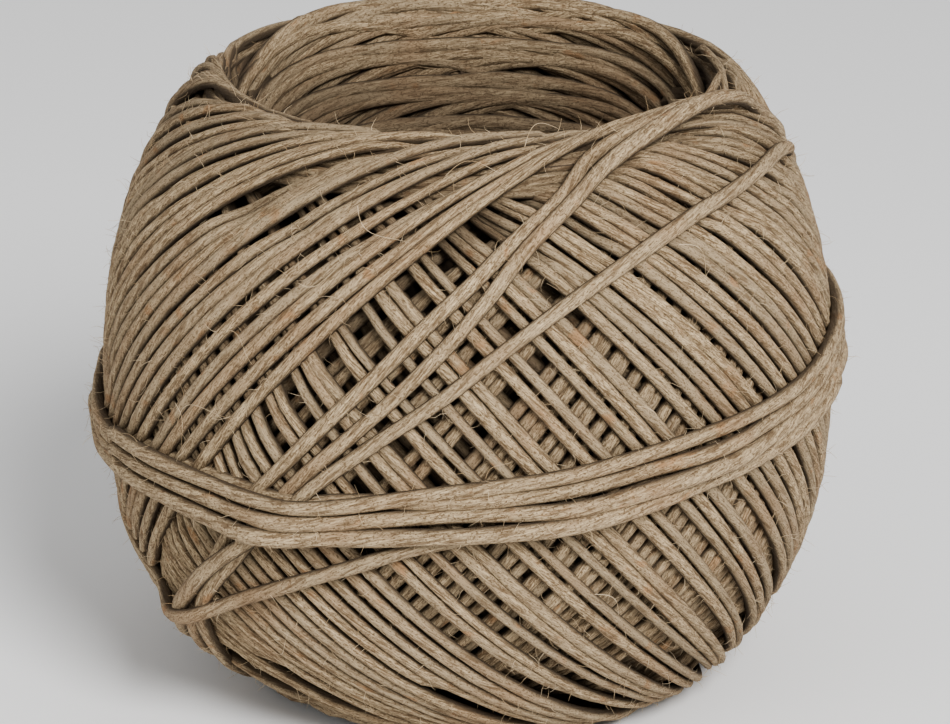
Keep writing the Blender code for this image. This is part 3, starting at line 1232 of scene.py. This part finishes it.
def sunk_share(strand, part):
    """Share of painted shade at each point, nought to one: more the deeper it lies under other strands, a
    little towards the crest of the upper rim and more down the bore.
    """
    below = blend_between(-strand.lift[part], 1.5, 3.9)
    inside = 0.25 + 0.75 * blend_between(strand.distance[part] - SECTION.top, 2.0, 14.0)
    inside = inside * blend_between(strand.distance[part] - SECTION.top, -14.0, 2.0)
    return np.maximum(below, inside)


def strand_run(strand, spacing):
    """Runs of one strand that could be seen, as points in metres with their thickness."""
    skip = max(int(round(spacing / Winding.SAMPLE)), 1)
    points = SECTION.points(strand.turn, strand.distance, strand.lift)
    points[:, 2] += BASE_DROP
    up = SECTION.normals(strand.turn, strand.distance)
    step = np.concatenate(([0.0], np.cumsum(np.linalg.norm(np.diff(points, axis=0), axis=1))))
    keep = np.unique(np.concatenate((np.arange(0, len(points), skip), [len(points) - 1])))
    seen = strand.lift[keep] > SEEN_DEPTH
    seen = seen | np.roll(seen, 1) | np.roll(seen, -1)
    runs = []
    start = None
    for place in range(len(keep) + 1):
        shown = place < len(keep) and seen[place]
        if shown and start is None:
            start = place
        elif not shown and start is not None:
            if place - start > 3:
                part = keep[start:place]
                runs.append(
                    {
                        "points": points[part] * MM,
                        "thick": strand.radius[part] * MM,
                        "wide": strand.wide[part],
                        "lay": (step[part] + strand.tone * LAY_SHIFT) * MM,
                        "tone": np.full(len(part), strand.tone),
                        "depth_shade": sunk_share(strand, part),
                        "up": up[part],
                    }
                )
            start = None
    return runs


def fuzz_tree():
    """Geometry Nodes that set short curled fibres on the outer side of the strands."""
    graph, inputs = nodes_group(
        "Twine fuzz",
        (
            ("Strands", "Geometry", None),
            ("Density", "Float", 1.0),
            ("Shortest", "Float", 0.4),
            ("Longest", "Float", 1.5),
            ("Thickness", "Float", 0.028 * MM),
            ("Curl", "Float", 1.1 * MM),
            ("Seed", "Int", 3),
            ("Finish", "Material", None),
        ),
    )

    def chance(low, high, salt):
        limits = {2: low, 3: high, "Seed": salt}
        return graph.add("FunctionNodeRandomValue", {"data_type": "FLOAT"}, limits, output=1)

    bearing = graph.add("GeometryNodeInputNamedAttribute", {"data_type": "FLOAT"}, {"Name": "bearing"})
    spread = {"Mesh": inputs["Strands"], "Density": bearing * inputs["Density"], "Seed": inputs["Seed"]}
    points = graph.add("GeometryNodeDistributePointsOnFaces", {"distribute_method": "RANDOM"}, spread)
    turned = Wire(graph, graph.last.outputs["Rotation"])
    lean = [chance(-1.35, 1.35, 4), chance(-1.35, 1.35, 5), chance(0.0, 6.28, 6)]
    spun = {"Rotation": turned, "Rotate By": graph.vector(*lean)}
    spin = graph.add("FunctionNodeRotateRotation", {"rotation_space": "LOCAL"}, spun)
    bend = {"Start": (0.0, 0.0, -0.0001), "Middle": (0.0003, 0.0, 0.0006), "End": (0.0010, 0.0002, 0.0009)}
    hair = graph.add("GeometryNodeCurveQuadraticBezier", None, {"Resolution": 3, **bend})
    size = chance(inputs["Shortest"], inputs["Longest"], 7)
    scale = graph.vector(size, size, size)
    placed = {"Points": points, "Instance": hair, "Rotation": spin, "Scale": scale}
    hairs = graph.add("GeometryNodeInstanceOnPoints", None, placed)
    hairs = graph.add("GeometryNodeRealizeInstances", None, {"Geometry": hairs})
    place = graph.add("GeometryNodeInputPosition")
    swirl_values = {"Vector": place, "Scale": 900.0, "Detail": 1.0}
    swirl = graph.add("ShaderNodeTexNoise", {"noise_dimensions": "3D"}, swirl_values, output=1)
    share = graph.add("GeometryNodeSplineParameter")
    curl = share * inputs["Curl"]
    offset = (swirl - (0.5, 0.5, 0.5)) * graph.vector(curl, curl, curl)
    hairs = graph.add("GeometryNodeSetPosition", None, {"Geometry": hairs, "Offset": offset})
    stored = {"data_type": "FLOAT", "domain": "POINT"}
    kept = {"Geometry": hairs, "Name": "share", "Value": share}
    hairs = graph.add("GeometryNodeStoreNamedAttribute", stored, kept)
    ring = graph.add("GeometryNodeCurvePrimitiveCircle", {"mode": "RADIUS"}, {"Resolution": 3, "Radius": 1.0})
    kept = {"Geometry": ring, "Name": "around", "Value": graph.add("GeometryNodeSplineParameter")}
    ring = graph.add("GeometryNodeStoreNamedAttribute", stored, kept)
    thin = (1.1 - share * 0.7) * inputs["Thickness"]
    wrap = {"Curve": hairs, "Profile Curve": ring, "Scale": thin, "Fill Caps": True}
    mesh = graph.add("GeometryNodeCurveToMesh", None, wrap)
    return finished_group(graph, mesh, inputs["Finish"])


def fuzz_finish(name):
    """Single pale fibres."""
    material, graph = empty_material(name)
    place = graph.add("ShaderNodeTexCoord", None, None, output=3)
    grain = graph.noise(place, 400.0, 2.0, 0.6)
    colour = graph.mix(grain.eased(0.35, 0.65), *FIBRE_COLOURS)
    values = {"Base Color": colour, "Roughness": grain.eased(0.2, 0.8, 0.75, 0.55)}
    shader = graph.add("ShaderNodeBsdfPrincipled", None, values)
    graph.add("ShaderNodeOutputMaterial", None, {"Surface": shader})
    return material


def nodes_mesh(name, data, tree, values):
    """Plain mesh of what a group of nodes makes of a mesh, with the group's inputs set by name."""
    holder = bpy.data.objects.new(name + "_source", data)
    bpy.context.scene.collection.objects.link(holder)
    modifier = holder.modifiers.new(tree.name, "NODES")
    modifier.node_group = tree
    sockets = [item for item in tree.interface.items_tree if item.in_out == "INPUT"]
    for socket in sockets:
        if socket.name in values:
            modifier[socket.identifier] = values[socket.name]
    bpy.context.view_layer.update()
    graph = bpy.context.evaluated_depsgraph_get()
    made = bpy.data.meshes.new_from_object(holder.evaluated_get(graph))
    bpy.data.objects.remove(holder, do_unlink=True)
    if not len(made.polygons):
        raise RuntimeError("the nodes made nothing of " + name)
    made.name = name
    if not made.materials:
        made.materials.append(values["Finish"])
    return made


def hang(name, data):
    """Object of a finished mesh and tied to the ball's node."""
    piece = bpy.data.objects.new(name, data)
    bpy.context.scene.collection.objects.link(piece)
    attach(piece, "root")
    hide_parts("twine_ball")
    return piece


def strand_mesh(name, runs, finish, sides, rib):
    """Twine wrapped round its paths, with its two maps."""
    values = {"Sides": sides, "Rib": rib, "Finish": finish}
    data = nodes_mesh(name, path_mesh(name + "_paths", runs), Shared.group(strand_tree), values)
    lay_maps(data)
    return data


def attribute_values(data, name):
    """Values of a float attribute at the points of a mesh."""
    values = np.zeros(len(data.vertices), dtype=np.float32)
    data.attributes[name].data.foreach_get("value", values)
    return values


def corner_table(data):
    """Point and face of every corner of a mesh."""
    point = np.zeros(len(data.loops), dtype=np.int32)
    data.loops.foreach_get("vertex_index", point)
    sizes = np.zeros(len(data.polygons), dtype=np.int32)
    data.polygons.foreach_get("loop_total", sizes)
    return point, np.repeat(np.arange(len(sizes)), sizes)


def add_map(data, name, across, upward):
    """Add one map from its two values at every corner."""
    layer = data.uv_layers.new(name=name)
    layer.data.foreach_set("uv", np.column_stack((across, upward)).astype(np.float32).ravel())


def closed_share(around, face):
    """Share around a tube at each corner, with the seam's far side counted as one."""
    widest = np.zeros(face[-1] + 1, dtype=np.float32)
    np.maximum.at(widest, face, around)
    return np.where((widest[face] > 0.7) & (around < 0.2), around + 1.0, around)


def lay_maps(data):
    """Map of the twine's own length and round, and an even sheet of strips to bake on."""
    point, face = corner_table(data)
    around = attribute_values(data, "around")[point]
    lay = attribute_values(data, "lay")[point]
    reel = attribute_values(data, "reel")[point] / MM
    nearest = np.full(face[-1] + 1, 1e9)
    np.minimum.at(nearest, face, reel)
    farthest = np.zeros(face[-1] + 1)
    np.maximum.at(farthest, face, reel)
    cap = (farthest - nearest)[face] < 1e-4
    share = np.where(cap, around, closed_share(around, face))
    add_map(data, "Lay", lay * 10.0, share)
    total = float(reel.max())
    rows = max(int(math.sqrt(total / (2.0 * math.pi * STRAND_RADIUS))), 1)
    length = total / rows
    middle = (farthest + nearest)[face] / 2.0
    row = np.clip((middle / length).astype(int), 0, rows - 1)
    turned = share * 2.0 * math.pi
    across = np.where(cap, middle + STRIP_MARGIN * 0.25 * np.cos(turned), reel) - row * length
    upward = np.where(cap, 0.5 + 0.3 * np.sin(turned), 0.04 + 0.92 * share)
    add_map(data, "OFBake", (across + STRIP_MARGIN) / (length + 2.0 * STRIP_MARGIN), (row + upward) / rows)


def fibre_maps(data):
    """One small cell of the baking sheet for every fibre."""
    point, face = corner_table(data)
    share = attribute_values(data, "share")
    around = attribute_values(data, "around")
    number = (np.cumsum(share < 1e-6) - 1) // 3
    cells = int(math.sqrt(number[-1] + 1)) + 1
    number = number[point]
    turned = closed_share(around[point], face)
    across = number % cells + 0.1 + 0.8 * share[point]
    upward = number // cells + 0.1 + 0.8 * turned
    add_map(data, "OFBake", across / cells, upward / cells)


def fuzz_bearer(pieces):
    """Joined mesh of the outer strands, with how much fuzz each of its points bears."""
    parts = [item.data for item in pieces]
    points = []
    faces = []
    bearing = []
    start = 0
    for data in parts:
        place = np.zeros(len(data.vertices) * 3, dtype=np.float32)
        data.vertices.foreach_get("co", place)
        points.append(place.reshape(-1, 3))
        around = attribute_values(data, "around")
        side = np.cos(around * 2.0 * math.pi)
        clear = blend_between(place[2::3], 0.001, 0.003)
        bearing.append(blend_between(side, -0.1, 0.5) * (1.0 - attribute_values(data, "depth_shade")) * clear)
        sides = [face.vertices for face in data.polygons if len(face.vertices) == 4]
        faces += [[start + corner for corner in corners] for corners in sides]
        start += len(data.vertices)
    joined = bpy.data.meshes.new("fuzz_bearer")
    joined.from_pydata(np.vstack(points).tolist(), [], faces)
    layer = joined.attributes.new("bearing", "FLOAT", "POINT")
    layer.data.foreach_set("value", np.concatenate(bearing).astype(np.float32))
    return joined


def long_fibre_runs():
    """Paths of the longer fibres, with what a strand needs at each point."""
    runs = []
    for number, (direction, distance, heading, length, bow, rise) in enumerate(LONG_FIBRES):
        share = np.linspace(0.0, 1.0, 15)
        ahead = length * share
        aside = bow * np.sin(share * math.pi * 1.3)
        slant = math.radians(heading)
        across = ahead * math.cos(slant) - aside * math.sin(slant)
        upward = ahead * math.sin(slant) + aside * math.cos(slant)
        radius = float(np.interp(distance, SECTION.along, SECTION.radius))
        turn = math.radians(direction) + across / radius
        place = distance + upward
        lift = 0.2 + rise * np.sin(share * math.pi * 0.9)
        points = SECTION.points(turn, place, lift)
        points[:, 2] += BASE_DROP
        runs.append(
            {
                "points": points * MM,
                "thick": LONG_FIBRE_RADIUS * MM * (1.0 - 0.5 * share),
                "wide": np.ones(len(share)),
                "lay": ahead * MM,
                "tone": np.full(len(share), 0.07 * number),
                "depth_shade": np.zeros(len(share)),
                "up": SECTION.normals(turn, place),
            }
        )
    return runs


def colour_property(name, description, default):
    """Colour setting of the panel."""
    return FloatVectorProperty(name=name, description=description, subtype="COLOR", default=default)


class TwineSettings(bpy.types.PropertyGroup):
    """Sizes and colours of the twine."""

    pale_colour: colour_property("Pale fibre", "Colour of the raised fibres", (0.67, 0.525, 0.335))
    deep_colour: colour_property("Deep fibre", "Colour between the fibres", (0.135, 0.085, 0.045))
    brown_colour: colour_property("Brown stretch", "Colour of the browner stretches", (0.30, 0.185, 0.105))
    grey_colour: colour_property("Grey stretch", "Colour of the greyer strands", (0.33, 0.26, 0.17))
    rust_colour: colour_property("Rusty spots", "Colour of the short orange spots", (0.33, 0.175, 0.08))
    # Painted shade: the colour that strands are darkened to at their sides, where they lie together, and deep
    # in the ball and down the bore.
    shade_colour: colour_property("Strand sides", "Colour where strands lie together", (0.062, 0.043, 0.027))
    fibre_lean: FloatProperty(
        name="Fibre lean", description="Turn of the fibres round the strand per millimetre", default=0.17
    )
    fibre_relief: FloatProperty(
        name="Fibre relief", description="Height of the fibres", subtype="DISTANCE", default=0.00030
    )


class Shared:
    """What the steps share, each thing made once: the winding, finishes and groups of nodes."""

    made = {}

    @classmethod
    def once(cls, name, maker, *values):
        """The named thing, made on its first use."""
        if name not in cls.made:
            cls.made[name] = maker(*values)
        return cls.made[name]

    @classmethod
    def group(cls, maker):
        """A group of Geometry Nodes."""
        return cls.once(maker.__name__, maker)

    @classmethod
    def strands(cls, kind):
        """Strands of one kind, in the order they were laid."""
        return [strand for strand in cls.once("winding", build_winding).strands if strand.kind == kind]

    @classmethod
    def twine(cls, context):
        """The hemp finish."""
        return cls.once("twine", twine_finish, "hemp_twine_finish", context.scene.twine)


def build_strands(context, kind, names, sides, spacing, rib):
    """Pieces of one kind of strand, shared out in the order they were laid."""
    strands = Shared.strands(kind)
    if not strands:
        raise RuntimeError("the winding has no strands of the kind " + kind)
    size = -(-len(strands) // len(names))
    for number, name in enumerate(names):
        part = strands[number * size : (number + 1) * size]
        runs = [run for strand in part for run in strand_run(strand, spacing)]
        hang(name, strand_mesh(name, runs, Shared.twine(context), sides, rib))


class TWINE_OT_cross(bpy.types.Operator):
    """Wind the cross winding and build its outer turns"""

    bl_idname = "twine.cross"
    bl_label = "Cross winding"

    def execute(self, context):
        """The outer turns in groups of neighbours."""
        names = ["cross_turns_%d" % (number + 1) for number in range(CROSS_PIECES)]
        build_strands(context, "cross", names, 10, 2.0, 0.03)
        return {"FINISHED"}


class TWINE_OT_under(bpy.types.Operator):
    """Build the turns that show through the gaps of the outer ones"""

    bl_idname = "twine.under"
    bl_label = "Turns beneath"

    def execute(self, context):
        """Two groups, the older turns first."""
        build_strands(context, "under", ["under_turns_1", "under_turns_2"], 6, 3.0, 0.0)
        return {"FINISHED"}


class TWINE_OT_bore(bpy.types.Operator):
    """Build the arcs and coils that wall the bore"""

    bl_idname = "twine.bore"
    bl_label = "Bore"

    def execute(self, context):
        """One piece."""
        build_strands(context, "bore", ["bore_arcs"], 8, 2.0, 0.03)
        return {"FINISHED"}


class TWINE_OT_wraps(bpy.types.Operator):
    """Build the waist wraps and the loose turns they hold down"""

    bl_idname = "twine.wraps"
    bl_label = "Waist wraps"

    def execute(self, context):
        """One piece."""
        build_strands(context, "over", ["waist_wraps"], 12, 1.5, 0.03)
        return {"FINISHED"}


class TWINE_OT_fuzz(bpy.types.Operator):
    """Set fuzz and longer loose fibres on the outer strands"""

    bl_idname = "twine.fuzz"
    bl_label = "Fuzz"

    def execute(self, context):
        """Short curled fibres by chance, longer ones from their table."""
        bearers = [item for item in context.scene.objects if item.name.startswith(("cross_turns", "waist"))]
        if not bearers:
            raise RuntimeError("the strands have to be wound before their fuzz")
        finish = Shared.once("fuzz", fuzz_finish, "fibre_finish")
        values = {"Density": FUZZ_DENSITY, "Finish": finish}
        data = nodes_mesh("short_fibres", fuzz_bearer(bearers), Shared.group(fuzz_tree), values)
        fibre_maps(data)
        hang("short_fibres", data)
        hang("long_fibres", strand_mesh("long_fibres", long_fibre_runs(), finish, 4, 0.0))
        return {"FINISHED"}


class TWINE_OT_core(bpy.types.Operator):
    """Fill the ball behind its turns with packed twine painted dark as shade"""

    bl_idname = "twine.core"
    bl_label = "Core"

    def execute(self, context):
        """Closed body under the turns, its depth eased towards the rims."""
        places = np.linspace(SECTION.along[0], SECTION.along[-1], CORE_ROWS)
        depth = CORE_DEPTH - CORE_EASE * blend_between(np.abs(places), 28.0, 38.0)
        radius, height = SECTION.at(places, -depth)
        mesh = bmesh.new()
        rows = []
        for r, z in zip(radius, height):
            row = []
            for step in range(CORE_COLUMNS):
                angle = 2.0 * math.pi * step / CORE_COLUMNS
                spot = (r * math.cos(angle) * MM, r * math.sin(angle) * MM, (z + BASE_DROP) * MM)
                row.append(mesh.verts.new(spot))
            rows.append(row)
        for index, row in enumerate(rows):
            after = rows[(index + 1) % len(rows)]
            for step in range(CORE_COLUMNS):
                near = (step + 1) % CORE_COLUMNS
                mesh.faces.new((row[step], row[near], after[near], after[step]))
        bmesh.ops.recalc_face_normals(mesh, faces=mesh.faces)
        for face in mesh.faces:
            face.smooth = True
        data = bpy.data.meshes.new("packed_core")
        mesh.to_mesh(data)
        mesh.free()
        data.materials.append(core_finish("packed_core_finish"))
        hang("packed_core", data)
        return {"FINISHED"}


class TWINE_OT_stage(bpy.types.Operator):
    """Set the pale floor, the soft light and the camera"""

    bl_idname = "twine.stage"
    bl_label = "Stage"

    def execute(self, context):
        """Floor, world, lights and camera at the photograph's angle."""
        scene = context.scene
        mesh = bmesh.new()
        bmesh.ops.create_grid(mesh, x_segments=1, y_segments=1, size=FLOOR_HALF)
        data = bpy.data.meshes.new("floor")
        mesh.to_mesh(data)
        mesh.free()
        floor = bpy.data.objects.new("floor", data)
        scene.collection.objects.link(floor)
        material = bpy.data.materials.new("floor_finish")
        material.use_nodes = True
        shader = material.node_tree.nodes["Principled BSDF"]
        shader.inputs["Base Color"].default_value = FLOOR_COLOUR
        shader.inputs["Roughness"].default_value = 0.9
        data.materials.append(material)
        world = bpy.data.worlds.new("studio")
        scene.world = world
        world.use_nodes = True
        background = world.node_tree.nodes["Background"]
        background.inputs["Color"].default_value = (1.0, 1.0, 1.0, 1.0)
        background.inputs["Strength"].default_value = WORLD_STRENGTH
        for name, spot, size, power in LIGHTS:
            lamp = bpy.data.lights.new(name, "AREA")
            lamp.shape = "DISK"
            lamp.size = size
            lamp.energy = power
            holder = bpy.data.objects.new(name, lamp)
            holder.location = spot
            ray = Vector(LIGHT_AIM) - Vector(spot)
            holder.rotation_euler = ray.to_track_quat("-Z", "Y").to_euler()
            scene.collection.objects.link(holder)
        tilt = math.radians(CAMERA_TILT_DEG)
        middle = Vector((0.0, 0.0, BASE_DROP * MM))
        eye = middle + Vector((0.0, -math.cos(tilt), math.sin(tilt))) * CAMERA_REACH
        up = Vector((0.0, math.sin(tilt), math.cos(tilt)))
        aim = middle + Vector((AIM_RIGHT_PX / PIXELS_PER_METRE, 0.0, 0.0))
        aim = aim + up * (AIM_UP_PX / PIXELS_PER_METRE)
        camera = bpy.data.cameras.new("camera")
        camera.sensor_width = SENSOR_MM
        camera.lens = PIXELS_PER_METRE * CAMERA_REACH / PHOTO_WIDTH_PX * SENSOR_MM
        camera.clip_start = 0.01
        camera.clip_end = 20.0
        stand = bpy.data.objects.new("camera", camera)
        stand.location = eye
        stand.rotation_euler = (aim - eye).to_track_quat("-Z", "Y").to_euler()
        scene.collection.objects.link(stand)
        scene.camera = stand
        scene.view_settings.look = "AgX - Medium High Contrast"
        return {"FINISHED"}


class TWINE_PT_panel(bpy.types.Panel):
    """Steps that build the ball, in order"""

    bl_idname = "TWINE_PT_panel"
    bl_label = "Hemp twine ball"
    bl_space_type = "VIEW_3D"
    bl_region_type = "UI"
    bl_category = "Twine"

    def draw(self, context):
        """List the settings and the steps."""
        for name in TwineSettings.__annotations__:
            self.layout.prop(context.scene.twine, name)
        for step in STEPS:
            self.layout.operator(step.bl_idname)


STEPS = (
    TWINE_OT_cross,
    TWINE_OT_under,
    TWINE_OT_bore,
    TWINE_OT_wraps,
    TWINE_OT_fuzz,
    TWINE_OT_core,
    TWINE_OT_stage,
)
CLASSES = (TwineSettings,) + STEPS + (TWINE_PT_panel,)


def register():
    """Register the settings, steps and panel."""
    for item in CLASSES:
        bpy.utils.register_class(item)
    bpy.types.Scene.twine = PointerProperty(type=TwineSettings)


def unregister():
    """Take the settings, steps and panel away again."""
    del bpy.types.Scene.twine
    for item in reversed(CLASSES):
        bpy.utils.unregister_class(item)


def main():
    """Build every piece in order."""
    register()
    bpy.ops.twine.cross()
    bpy.ops.twine.under()
    bpy.ops.twine.bore()
    bpy.ops.twine.wraps()
    bpy.ops.twine.fuzz()
    bpy.ops.twine.core()
    bpy.ops.twine.stage()


if __name__ == "__main__":
    main()
